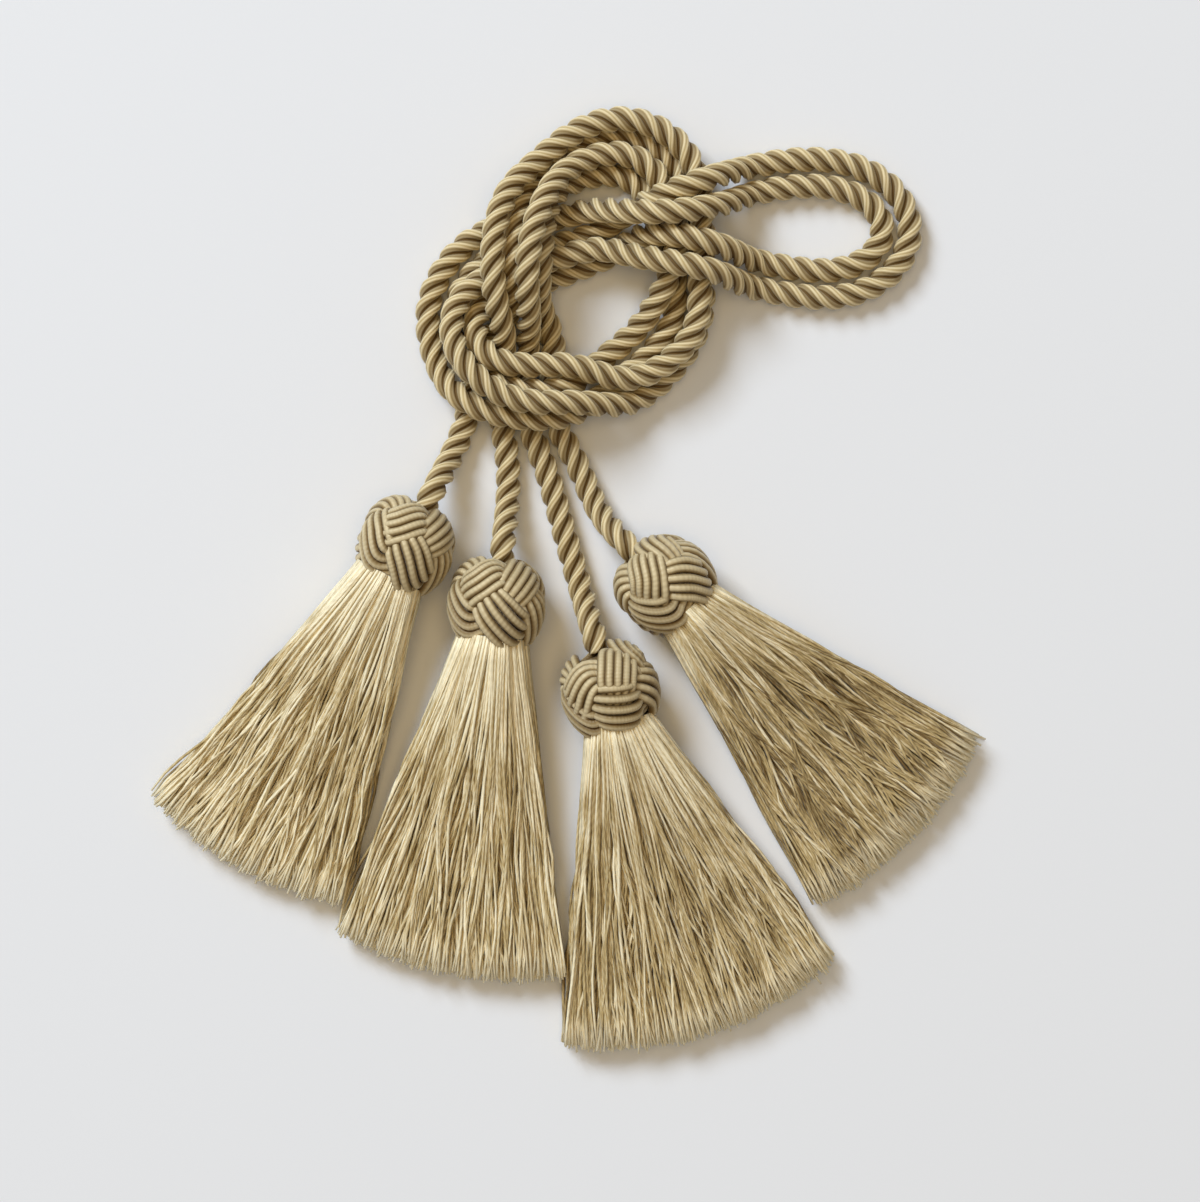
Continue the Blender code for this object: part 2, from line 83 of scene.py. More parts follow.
def tasselFrame(tassel):
    # middle of the head, the way the tassel points, the way across it, and up
    angle = math.radians(tassel["points"])
    middle = np.array((*tassel["middle"], headLift))
    along = np.array((math.sin(angle), -math.cos(angle), 0.0))
    across = np.array((math.cos(angle), math.sin(angle), 0.0))
    return middle, along, across, np.array((0.0, 0.0, 1.0))


def unit(rows):
    return rows / np.linalg.norm(rows, axis=-1, keepdims=True)


def keepOffFloor(points):
    points[:, 2] = np.maximum(points[:, 2], floorGap)


def tubeQuads(tubes, rings, columns, looped=False):
    # quads of many tubes at once; their points are ordered tube, ring, column
    spans = rings if looped else rings - 1
    t, r, c = np.meshgrid(np.arange(tubes), np.arange(spans), np.arange(columns), indexing="ij")

    def at(ring, column):
        return (t * rings + ring % rings) * columns + column % columns

    quads = np.stack((at(r, c), at(r, c + 1), at(r + 1, c + 1), at(r + 1, c)), -1)
    return quads.reshape(-1, 4)


def meshPiece(name, points, faces, uv, masks, finish):
    # uv has a row for each point; masks are named numbers, one for each point
    mesh = bpy.data.meshes.new(name)
    mesh.from_pydata(points.tolist(), [], faces)
    corners = np.zeros(len(mesh.loops), dtype=np.int32)
    mesh.loops.foreach_get("vertex_index", corners)
    layer = mesh.uv_layers.new(name="UVMap")
    layer.data.foreach_set("uv", uv[corners].astype(np.float32).ravel())
    for key, values in masks.items():
        attribute = mesh.attributes.new(key, "FLOAT", "POINT")
        attribute.data.foreach_set("value", np.asarray(values, dtype=np.float32))
    mesh.shade_smooth()
    mesh.materials.append(finish)
    piece = bpy.data.objects.new(name, mesh)
    bpy.context.collection.objects.link(piece)
    return piece


class Value:
    # a socket that can be added, multiplied and so on

    def __init__(self, finish, socket):
        self.finish = finish
        self.socket = socket

    def maths(self, operation, first, second):
        return self.finish.node("Math", {"operation": operation}, {0: first, 1: second})

    def __add__(self, other):
        return self.maths("ADD", self, other)

    __radd__ = __add__

    def __mul__(self, other):
        return self.maths("MULTIPLY", self, other)

    __rmul__ = __mul__

    def __sub__(self, other):
        return self.maths("SUBTRACT", self, other)

    def __rsub__(self, other):
        return self.maths("SUBTRACT", other, self)


class Finish:
    # one material and its nodes; constants are what is the same all over it

    def __init__(self, name, constants):
        self.material = bpy.data.materials.new(name)
        self.material.use_nodes = True
        self.tree = self.material.node_tree
        self.shader = self.tree.nodes["Principled BSDF"]
        for key, value in constants.items():
            self.plug(self.shader.inputs[key], value)

    def plug(self, socket, value):
        if isinstance(value, Value):
            self.tree.links.new(value.socket, socket)
        elif socket.type == "RGBA":
            socket.default_value = (*value, 1.0)
        else:
            socket.default_value = value

    def node(self, kind, settings=None, sockets=None, gives=0):
        made = self.tree.nodes.new("ShaderNode" + kind)
        for key, value in (settings or {}).items():
            if key == "stops":
                self.setStops(made.color_ramp, value)
            else:
                setattr(made, key, value)
        for key, value in (sockets or {}).items():
            self.plug(made.inputs[key], value)
        return Value(self, made.outputs[gives])

    def setStops(self, ramp, stops):
        # a stop is a place with a colour, or with one number for a grey
        while len(ramp.elements) < len(stops):
            ramp.elements.new(0.5)
        for element, (place, tone) in zip(ramp.elements, stops):
            element.position = place
            element.color = (*np.broadcast_to(tone, 3), 1.0)

    def ramp(self, value, stops):
        return self.node("ValToRGB", {"stops": stops}, {0: value})

    def sine(self, turns):
        return self.node("Math", {"operation": "SINE"}, {0: turns})

    def blendColour(self, share, first, second):
        return self.node("Mix", {"data_type": "RGBA"}, {0: share, 6: first, 7: second}, gives=2)

    def mask(self, name):
        return self.node("Attribute", {"attribute_name": name}, gives=2)

    def uv(self):
        return self.node("TexCoord", gives=2)

    def stretched(self, scale):
        # the piece's own uv, stretched so that noise runs along its yarns
        return self.node("Mapping", {}, {"Vector": self.uv(), "Scale": scale})

    def noise(self, where, scale, detail, rough):
        sockets = {"Vector": where, "Scale": scale, "Detail": detail, "Roughness": rough}
        return self.node("TexNoise", {}, sockets)

    def bump(self, height, strength, distance):
        sockets = {"Height": height, "Strength": strength, "Distance": distance}
        self.plug(self.shader.inputs["Normal"], self.node("Bump", {}, sockets))

    def colour(self, value):
        self.plug(self.shader.inputs["Base Color"], value)

    def roughness(self, value):
        self.plug(self.shader.inputs["Roughness"], value)


addCamera(cameraSettings)
print("camera placed")

ropeSettings = {
    "diameter": 7.0 * mm,
    "lay": 17.0 * mm,            # length of one full turn of the three strands
    "spacing": 7.5 * mm,         # centre to centre where ropes press on each other
    "floorClear": 0.1 * mm,
    "seat": 10.5 * mm,           # from a head's middle back to the rope's end in its hollow
    "straight": 5.0 * mm,        # from there the rope runs straight back this far,
    "leadOut": 14.0 * mm,        # and this far out it has sunk
    "leadHeight": 0.68,          # to this share of its height in the head
    "step": 0.65 * mm,
    "strands": 3,
    "strandRadius": 1.86 * mm,
    "strandOut": 1.82 * mm,      # a strand's middle, from the rope's own
    "strandOpen": 118.0,         # degrees of a strand's round that show, each way from outside
    "grooveAt": 0.42,            # share of the rope's radius at which the painted shade in the grooves is darkest
    "columns": 17,
    "yarns": 4,                  # yarns side by side on the open round of a strand
    "yarnRidge": 0.21 * mm,
    # gold is the yarn's own colour, pale its painted highlight and deep its painted shade
    "gold": (0.48, 0.34, 0.14),
    "pale": (0.99, 0.86, 0.55),
    "deep": (0.160, 0.096, 0.031),
    "fibreStretch": (14.0, 1.2, 1.0),
    "fibreGrain": (7.0, 3.0, 0.6),            # scale, detail and roughness of the noise
    "patchStretch": (1.0, 0.9, 1.0),
    "patchGrain": (1.7, 2.0, 0.5),
    "paleBy": {"ridge": 0.80, "fibre": 0.7, "less": 0.30},      # gold at 0, pale at 1: painted highlight on the yarn ridges, with the fibres' grain
    "goldPatches": 0.35,
    # painted shade in the grooves between strands, and a little between yarns
    "depthBy": {"outside": 0.88, "ridge": 0.12},
    "depthStops": ((0.46, 0.0), (0.70, 0.5), (0.87, 1.0)),      # painted shade: deep at 0, in the grooves between strands, yarn at 1
    "roughBy": {"base": 0.66, "outside": 0.32, "fibre": 0.2},
    "bump": (0.8, 0.12 * mm),                 # strength and distance
    "constants": {"Specular IOR Level": 0.4, "Specular Tint": yarnGlint,
                  "Sheen Weight": 0.12, "Sheen Roughness": 0.4},
}

# how the ropes settle on each other and on the floor
settleSettings = {
    "step": 2.5 * mm,
    "rounds": 700,
    "sinking": 0.8,              # share of the rounds in which the ropes sink
    "sink": 0.02 * mm,           # how far they sink in one round
    "pull": 0.01,                # how much of the way back to their route they are drawn
    "push": 0.8,                 # how much of an overlap one round takes away
    "stiffness": 0.35,
    "passes": (4, 2),            # softening passes while the ropes sink and after that
    "held": 3,                   # points at each end that stay where they are
    "lookEvery": 20,             # rounds from one search for near points to the next
    "near": 1.6,                 # points nearer than so many spacings are watched,
    "ownApart": 2.4,             # but not those nearer than so many along the same rope
}

# x and y in metres and how many ropes lie beneath; from a tassel's neck to the loop's tip
neck1ToLoop = (
    (-0.028, 0.102, 0), (-0.025, 0.115, 0), (-0.020, 0.126, 0.7), (-0.016, 0.139, 1.6),
    (-0.014, 0.151, 1.6), (-0.009, 0.163, 0.8), (0.000, 0.174, 0), (0.010, 0.179, 0),
    (0.018, 0.179, 0), (0.027, 0.175, 0), (0.034, 0.165, 0), (0.037, 0.151, 0),
    (0.038, 0.136, 0), (0.037, 0.125, 0), (0.030, 0.115, 0.2), (0.018, 0.106, 1.2),
    (0.001, 0.104, 1.8), (-0.016, 0.106, 1.8), (-0.027, 0.116, 1.1), (-0.029, 0.127, 0.7),
    (-0.025, 0.136, 0.5), (-0.016, 0.141, 0.6), (-0.006, 0.145, 0.8), (0.004, 0.147, 1),
    (0.014, 0.147, 1.7), (0.024, 0.146, 1.9), (0.033, 0.143, 1.9), (0.043, 0.139, 1.2),
    (0.053, 0.137, 0.3), (0.063, 0.135, 0), (0.072, 0.134, 0), (0.081, 0.135, 0),
    (0.090, 0.140, 0), (0.095, 0.146, 0), (0.097, 0.153, 0),
)
neck2ToLoop = (
    (-0.017, 0.098, 0), (-0.019, 0.115, 0), (-0.018, 0.130, 1.7), (-0.018, 0.140, 2.4),
    (-0.018, 0.151, 2.5), (-0.014, 0.162, 1.4), (-0.007, 0.170, 0.9), (0.000, 0.176, 0.9),
    (0.006, 0.181, 0.9), (0.015, 0.182, 0.9), (0.023, 0.181, 0.9), (0.029, 0.177, 0.9),
    (0.033, 0.172, 0.9), (0.037, 0.162, 0.9), (0.039, 0.150, 1), (0.039, 0.137, 1),
    (0.037, 0.125, 0.9), (0.028, 0.115, 0.9), (0.015, 0.110, 1), (0.000, 0.111, 1.1),
    (-0.013, 0.114, 1.3), (-0.021, 0.120, 0.9), (-0.023, 0.128, 0.3), (-0.018, 0.135, 0),
    (-0.010, 0.139, 0), (0.001, 0.144, 0), (0.011, 0.147, 0.8), (0.022, 0.149, 1.8),
    (0.033, 0.149, 1.9), (0.043, 0.146, 1.3), (0.053, 0.144, 0.4), (0.063, 0.143, 0),
    (0.072, 0.141, 0), (0.080, 0.143, 0), (0.088, 0.147, 0), (0.090, 0.153, 0),
)
neck3ToLoop = (
    (-0.004, 0.080, 0), (-0.009, 0.099, 0), (-0.013, 0.115, 0), (-0.013, 0.128, 1.5),
    (-0.011, 0.137, 2.3), (-0.009, 0.147, 2.5), (-0.006, 0.158, 2), (-0.003, 0.165, 1.1),
    (0.003, 0.172, 0.9), (0.010, 0.175, 0.8), (0.018, 0.175, 0.8), (0.024, 0.171, 0.9),
    (0.027, 0.164, 1), (0.030, 0.151, 1), (0.029, 0.141, 1), (0.025, 0.127, 0.9),
    (0.015, 0.118, 0.4), (0.007, 0.112, 0.2), (-0.002, 0.108, 0.9), (-0.013, 0.107, 1),
    (-0.025, 0.115, 0.4), (-0.031, 0.126, 0), (-0.029, 0.135, 0), (-0.023, 0.141, 0),
    (-0.013, 0.147, 0), (0.000, 0.152, 0), (0.010, 0.155, 0.6), (0.021, 0.158, 1.6),
    (0.028, 0.160, 1.9), (0.035, 0.162, 1.9), (0.043, 0.166, 1.3), (0.053, 0.171, 0.4),
    (0.063, 0.172, 0), (0.072, 0.173, 0), (0.081, 0.171, 0), (0.090, 0.165, 0),
    (0.095, 0.160, 0), (0.097, 0.153, 0),
)
neck4ToLoop = (
    (-0.001, 0.100, 0), (-0.006, 0.113, 0), (-0.012, 0.126, 1), (-0.009, 0.141, 1.6),
    (-0.006, 0.155, 1.2), (0.001, 0.165, 0.2), (0.010, 0.170, 0), (0.018, 0.169, 0),
    (0.025, 0.162, 0), (0.029, 0.150, 0), (0.031, 0.137, 0), (0.026, 0.125, 0),
    (0.017, 0.112, 0), (0.005, 0.104, 0.9), (-0.006, 0.101, 1), (-0.017, 0.101, 1),
    (-0.027, 0.104, 0.6), (-0.034, 0.114, 0.1), (-0.038, 0.126, 0), (-0.037, 0.135, 0),
    (-0.032, 0.142, 0.3), (-0.025, 0.147, 0.6), (-0.016, 0.151, 0.7), (-0.006, 0.154, 1),
    (0.003, 0.155, 1.5), (0.011, 0.157, 2.2), (0.021, 0.158, 2.6), (0.032, 0.159, 2.4),
    (0.043, 0.161, 1.3), (0.053, 0.164, 0.5), (0.063, 0.165, 0), (0.072, 0.165, 0),
    (0.080, 0.164, 0), (0.088, 0.159, 0), (0.090, 0.153, 0),
)
ropes = (
    ("rope_a", tassels[2], neck3ToLoop, tassels[0], neck1ToLoop),
    ("rope_b", tassels[3], neck4ToLoop, tassels[1], neck2ToLoop),
)


def evenSteps(points, step):
    run = np.concatenate(([0.0], np.cumsum(np.linalg.norm(np.diff(points, axis=0), axis=1))))
    places = np.linspace(0.0, run[-1], int(round(run[-1] / step)) + 1)
    return np.stack([np.interp(places, run, points[:, k]) for k in range(3)], axis=1)


def smoothCurve(points, step, samples=24):
    # a centripetal Catmull-Rom curve through the points, in equal steps
    ends = np.vstack((2 * points[0] - points[1], points, 2 * points[-1] - points[-2]))
    root = np.linalg.norm(np.diff(ends, axis=0), axis=1) ** 0.5
    t = np.linspace(0.0, 1.0, samples, endpoint=False)[:, None]
    parts = []
    for i in range(1, len(ends) - 2):
        before, here, after, beyond = ends[i - 1:i + 3]
        a, b, c = root[i - 1:i + 2]
        leave = ((here - before) / a - (after - before) / (a + b) + (after - here) / b) * b
        arrive = ((after - here) / b - (beyond - here) / (b + c) + (beyond - after) / c) * b
        parts.append(here * (2 * t**3 - 3 * t**2 + 1) + leave * (t**3 - 2 * t**2 + t)
                     + after * (3 * t**2 - 2 * t**3) + arrive * (t**3 - t**2))
    parts.append(points[-1:])
    return evenSteps(np.vstack(parts), step)


def soften(moves, passes):
    for _ in range(passes):
        moves[1:-1] = (moves[:-2] + 2 * moves[1:-1] + moves[2:]) / 4
    return moves


def straighten(line, inner, stiffness):
    # a rope resists a bend, so a sharp one spreads out along it
    bend = np.zeros_like(line)
    bend[1:-1] = (line[:-2] + line[2:]) / 2 - line[1:-1]
    stiff = np.zeros_like(line)
    stiff[1:-1] = (bend[:-2] + bend[2:]) / 2 - bend[1:-1]
    line[inner] -= stiffness * stiff[inner]


def nearPairs(at, owner, order, near, ownApart):
    gaps = np.linalg.norm(at[:, None] - at[None], axis=2)
    own = (owner[:, None] == owner) & (np.abs(order[:, None] - order) < ownApart)
    return np.nonzero(np.triu((gaps < near) & ~own))


def lyingHeight(settings):
    # height of a rope's middle where it lies on the floor
    return settings["diameter"] / 2 + settings["floorClear"]


def pressApart(lines, settings, settling):
    # Settles ropes that press on each other: points move until they stand a spacing apart,
    # lie on the floor or on what is beneath, and stay near their own route.
    spacing = settings["spacing"]
    ownApart = int(settling["ownApart"] * spacing / settling["step"])
    held = settling["held"]
    at = np.vstack(lines)
    home = at.copy()
    sizes = [len(line) for line in lines]
    starts = np.cumsum([0] + sizes)
    owner = np.repeat(np.arange(len(lines)), sizes)
    order = np.concatenate([np.arange(n) for n in sizes])
    for k in range(settling["rounds"]):
        if k % settling["lookEvery"] == 0:
            first, second = nearPairs(at, owner, order, settling["near"] * spacing, ownApart)
        way = at[first] - at[second]
        reach = np.linalg.norm(way, axis=1)
        need = np.clip(spacing - reach, 0.0, None)
        push = 0.5 * way / reach[:, None] * need[:, None]
        moves = np.zeros_like(at)
        np.add.at(moves, first, push)
        np.add.at(moves, second, -push)
        touching = (np.bincount(first, need > 0, len(at))
                    + np.bincount(second, need > 0, len(at)))
        moves *= settling["push"] / np.maximum(touching, 1.0)[:, None] ** 0.5
        sinking = k < settling["sinking"] * settling["rounds"]
        if sinking:
            moves[:, 2] -= settling["sink"]
            moves[:, :2] += settling["pull"] * (home - at)[:, :2]
        passes = settling["passes"][0 if sinking else 1]
        for start, end in zip(starts[:-1], starts[1:]):
            line = at[start:end]
            inner = slice(held, end - start - held)
            line[inner] += soften(moves[start:end], passes)[inner]
            straighten(line, inner, settling["stiffness"])
        at[:, 2] = np.maximum(at[:, 2], lyingHeight(settings))
    return [at[start:end] for start, end in zip(starts[:-1], starts[1:])]


def neckPoints(tassel, settings):
    # the rope's end in the hollow of the head, and its way out and down from there
    middle, along, _, _ = tasselFrame(tassel)
    seat = middle - along * settings["seat"]
    free = seat - along * settings["straight"]
    out = seat - along * settings["leadOut"]
    return [tuple(seat), tuple(free), (out[0], out[1], settings["leadHeight"] * seat[2])]


def ropeRoute(startTassel, startHalf, endTassel, endHalf, settings):
    # from one head's hollow to the loop's tip and back to the other's, with the heights in metres
    low = lyingHeight(settings)
    halves = []
    for tassel, rows in ((startTassel, startHalf), (endTassel, endHalf)):
        halves.append(neckPoints(tassel, settings)
                      + [(x, y, low + beneath * settings["spacing"]) for x, y, beneath in rows])
    return np.array(halves[0] + halves[1][-2::-1], dtype=float)


def ropeSection(settings):
    # The rope's outline: its strands, each with raised yarns. Columns: distance from the
    # middle, angle, share of the way round the strand, 1 outside to 0 in the groove between
    # strands, and 1 on a yarn to 0 between two yarns.
    strands = settings["strands"]
    share = np.arange(settings["columns"]) / (settings["columns"] - 1)
    turn = np.radians(settings["strandOpen"]) * (2 * share - 1)
    ridge = 0.5 - 0.5 * np.cos(math.tau * settings["yarns"] * share)
    radius = settings["strandRadius"] - settings["yarnRidge"] * (1 - ridge)
    x = settings["strandOut"] + radius * np.cos(turn)
    y = radius * np.sin(turn)
    distance = np.hypot(x, y)
    groove = settings["grooveAt"]
    outside = np.clip((distance / distance.max() - groove) / (1 - groove), 0.0, 1.0)
    angle = np.arctan2(y, x)
    angles = np.concatenate([angle + lobe * math.tau / strands for lobe in range(strands)])
    distance, share, outside, ridge = (
        np.tile(column, strands) for column in (distance, share, outside, ridge))
    return distance, angles, share, outside, ridge


def carriedSides(line):
    # directions across a line, carried along it without a twist
    ways = unit(np.gradient(line, axis=0))
    sides = np.zeros_like(line)
    side = np.cross(ways[0], (0.0, 0.0, 1.0))
    for i, way in enumerate(ways):
        side = side - way * np.dot(side, way)
        side /= np.linalg.norm(side)
        sides[i] = side
    return sides, np.cross(ways, sides)


def ropeEnds(rings, columns, middles):
    # the triangles that close the first and the last ring round their middle points
    last = (rings - 1) * columns
    faces = []
    for k in range(columns):
        after = (k + 1) % columns
        faces.append((after, k, middles))
        faces.append((last + k, last + after, middles + 1))
    return faces


def makeRope(name, line, settings, finish):
    sides, ups = carriedSides(line)
    distance, angles, share, outside, ridge = ropeSection(settings)
    rings, columns = len(line), len(distance)
    run = np.arange(rings) * np.linalg.norm(line[1] - line[0])
    turn = angles[None] + math.tau * run[:, None] / settings["lay"]
    points = (line[:, None] + distance[None, :, None]
              * (np.cos(turn)[..., None] * sides[:, None] + np.sin(turn)[..., None] * ups[:, None]))
    points = points.reshape(-1, 3)
    keepOffFloor(points)
    faces = tubeQuads(1, rings, columns).tolist() + ropeEnds(rings, columns, len(points))
    points = np.vstack((points, line[:1], line[-1:]))
    strand = np.repeat(np.arange(settings["strands"]), settings["columns"])
    uv = np.stack((np.tile(share + strand, rings), np.repeat(run, columns) / settings["lay"]), -1)
    uv = np.vstack((uv, uv[:1], uv[-1:]))
    masks = {"outside": np.append(np.tile(outside, rings), (0.0, 0.0)),
             "ridge": np.append(np.tile(ridge, rings), (0.0, 0.0))}
    return meshPiece(name, points, faces, uv, masks, finish)


def ropeFinish(settings):
    made = Finish("ropeYarn", settings["constants"])
    outside = made.mask("outside")
    ridge = made.mask("ridge")
    fibre = made.noise(made.stretched(settings["fibreStretch"]), *settings["fibreGrain"])
    patch = made.noise(made.stretched(settings["patchStretch"]), *settings["patchGrain"])
    paleBy, depthBy, roughBy = settings["paleBy"], settings["depthBy"], settings["roughBy"]
    # painted highlight: paler on the yarns' ridges and along the fibres' grain
    lit = ridge * paleBy["ridge"] + fibre * paleBy["fibre"] - paleBy["less"]
    yarn = made.blendColour(lit, settings["gold"], settings["pale"])
    yarn = made.blendColour(patch * settings["goldPatches"], yarn, settings["gold"])
    # painted shade: deep brown in the grooves between strands and, less so, between yarns
    depth = made.ramp(outside * depthBy["outside"] + ridge * depthBy["ridge"],
                      settings["depthStops"])
    made.colour(made.blendColour(depth, settings["deep"], yarn))
    made.roughness(roughBy["base"] - outside * roughBy["outside"] + fibre * roughBy["fibre"])
    made.bump(fibre, *settings["bump"])
    return made.material


routes = [ropeRoute(*ends, ropeSettings) for _, *ends in ropes]
settled = pressApart([smoothCurve(route, settleSettings["step"]) for route in routes],
                     ropeSettings, settleSettings)
ropeYarn = ropeFinish(ropeSettings)
for (name, *_), course in zip(ropes, settled):
    line = smoothCurve(course, ropeSettings["step"])
    rope = makeRope(name + "_laid", line, ropeSettings, ropeYarn)
    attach(rope, "root")
    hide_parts(name)

headSettings = {
    "radius": 11.85 * mm,        # the level at which a band passes neither over nor under
    "neckRise": 11.9 * mm,       # the neck half is an ellipsoid of this height,
    "skirtRise": 15.6 * mm,      # and the skirt half one of this
    "middleLatitude": 8.5,
    "reach": 39.0,               # degrees that a band swings north and south of that
    "bights": 5,
    "cords": 5,
    "pitch": 2.04 * mm,          # one cord to the next where the band is level
    "spread": 0.05,              # how much the cords part over a crossing and close under one
    "lift": 1.25 * mm,
    "steep": 2.2,                # how quickly a band climbs from under to over
    "crown": 0.55 * mm,          # fall from a band's middle to its outer cords
    "cordWide": 1.26 * mm,
    "cordHigh": 1.14 * mm,
    "columns": 10,
    "samples": 9,                # rings between two places of the weave
    "coreRadius": 10.8 * mm,     # of the plain ball under the weave,
    "coreLess": 2.4 * mm,        # which is this much shorter at its neck and skirt ends
    "coreRings": 13,
    "coreColumns": 24,
    "twist": 1.0 * mm,           # from one ply of a cord to the next along it
    # gold is the gimp's own colour, pale its painted highlight and deep its painted shade
    "gold": (0.31, 0.22, 0.095),
    "pale": (0.66, 0.54, 0.32),
    "deep": (0.17, 0.105, 0.038),
    "patchStretch": (1.0, 0.3, 1.0),
    "patchGrain": (1.0, 3.0, 0.6),            # scale, detail and roughness of the noise
    "crestStops": ((0.78, 0.0), (0.99, 1.0)),
    "paleBy": {"crest": 0.8, "patch": 0.6, "ply": 0.05, "less": 0.26},    # gold at 0, pale at 1: painted highlight on the cords' crests and plies, with random patches
    "depthStops": ((0.60, 0.0), (0.84, 0.6), (0.95, 1.0)),                # painted shade: deep at 0, on the cords' undersides and the core, yarn at 1
    "roughBy": {"base": 0.34, "patch": 0.2},
    "bump": (0.28, 0.10 * mm),                # strength and distance
    "constants": {"Specular IOR Level": 0.5, "Specular Tint": yarnGlint,
                  "Sheen Weight": 0.15, "Sheen Roughness": 0.4},
}

# The weave's crossings and its turning places at the skirt end, in degrees east and north on the
# head, as loosely as hands pull them. Those not named keep their even places, turned by "turn".
weavePlaces = (
    {"turn": 12, "upper": {4: (-21, 17), 0: (46, 35)}, "lower": {4: (-51, -1), 0: (12, -9)},
     "south": {0: (56, -33)}},
    {"turn": 0, "upper": {4: (-31, 20), 0: (35, 30)}, "lower": {4: (-71, -7), 0: (4, -13)},
     "south": {0: (52, -32)}},
    {"turn": -6, "upper": {4: (-54, -1), 0: (15, 12), 1: (60, 38), 2: (150, 28)},
     "lower": {0: (3, -22), 1: (78, -9)}, "south": {0: (38, -23), 4: (-35, -42)}},
    {"turn": -51, "upper": {0: (-15, 14), 1: (40, 46), 2: (118, 28)},
     "lower": {0: (-51, -14), 1: (27, -13)}, "south": {}},
)


def headDirection(east, north):
    # unit direction from the head's middle: across, up and towards the neck
    east = np.radians(east)
    north = np.radians(north)
    flat = np.cos(north)
    return np.stack((flat * np.sin(east), flat * np.cos(east), np.sin(north)), -1)


def weaveKnots(places, settings):
    # the band's places in order: a turning place at the neck, two crossings, a turning place
    # at the skirt and two more crossings, once for every bight
    bights = settings["bights"]
    between = 180.0 / bights
    rise = settings["reach"] / 2
    upper = [(places["turn"] + between * (2 * i + 1), settings["middleLatitude"] + rise)
             for i in range(bights)]
    lower = [(places["turn"] + between * 2 * i, settings["middleLatitude"] - rise)
             for i in range(bights)]
    for ring, moved in ((upper, places["upper"]), (lower, places["lower"])):
        for index, place in moved.items():
            ring[index] = place
    rows = []
    for k in range(6 * bights):
        kind = k % 6
        if kind in (1, 5):
            rows.append(upper[(k - 1) // 2 % bights])
        elif kind in (2, 4):
            rows.append(lower[k // 2 % bights])
        else:
            ring, outward = (upper, 1) if kind == 0 else (lower, -1)
            start = (k - 2) // 2 if kind == 0 else (k - 1) // 2
            east0, north0 = ring[start % bights]
            east1, north1 = ring[(start + 1) % bights]
            apart = (east1 - east0 + 180) % 360 - 180
            even = (east0 + apart / 2, (north0 + north1) / 2 + outward * rise)
            rows.append(places["south"].get(start % bights, even) if kind == 3 else even)
    return headDirection(*np.array(rows, dtype=float).T)


def weaveCourse(places, settings):
    # The band's closed middle line on the head, as unit directions, with its lift from -1 to 1:
    # it passes over and under by turns, in three passes round the head.
    knots = weaveKnots(places, settings)
    t = np.linspace(0.0, 1.0, settings["samples"], endpoint=False)[:, None]
    parts = []
    for k in range(len(knots)):
        before, here, after, beyond = (knots[(k + j) % len(knots)] for j in (-1, 0, 1, 2))
        parts.append(0.5 * (2 * here + (after - before) * t
                            + (2 * before - 5 * here + 4 * after - beyond) * t**2
                            + (3 * here - before - 3 * after + beyond) * t**3))
    course = unit(np.vstack(parts))
    turn = np.arange(len(course)) / settings["samples"] * math.tau / 3
    steep = settings["steep"]
    lift = -np.tanh(steep * np.sin(turn)) / math.tanh(steep * math.sin(math.pi / 3))
    return course, lift


def onHead(directions, outward, settings):
    # places on the head at that much over its level, in its own axes
    rise = np.where(directions[..., 2] > 0, settings["neckRise"], settings["skirtRise"])
    level = np.stack((directions[..., 0] * settings["radius"],
                      directions[..., 1] * settings["radius"], directions[..., 2] * rise), -1)
    size = np.linalg.norm(level, axis=-1, keepdims=True)
    return level * (1 + outward[..., None] / size)


def bandCords(places, settings):
    # the middle lines of the band's cords, side by side
    course, lift = weaveCourse(places, settings)
    ahead = unit(np.roll(course, -1, axis=0) - np.roll(course, 1, axis=0))
    sideways = unit(np.cross(course, ahead))
    pitch = settings["pitch"] * (1 + settings["spread"] * lift)
    lines = []
    for cord in range(settings["cords"]):
        offset = cord - (settings["cords"] - 1) / 2
        angle = offset * pitch / settings["radius"]
        directions = np.cos(angle)[:, None] * course + np.sin(angle)[:, None] * sideways
        crown = settings["crown"] * (2 * abs(offset) / (settings["cords"] - 1)) ** 2
        lines.append(onHead(directions, settings["lift"] * lift - crown, settings))
    return np.array(lines)


def corePoints(settings):
    north = np.radians(np.linspace(-90, 90, settings["coreRings"]))[:, None]
    east = np.arange(settings["coreColumns"]) * math.tau / settings["coreColumns"]
    rise = np.where(north > 0, settings["neckRise"], settings["skirtRise"]) - settings["coreLess"]
    flat = settings["coreRadius"] * np.cos(north)
    parts = np.broadcast_arrays(flat * np.sin(east), flat * np.cos(east), rise * np.sin(north))
    return np.stack(parts, -1).reshape(-1, 3)


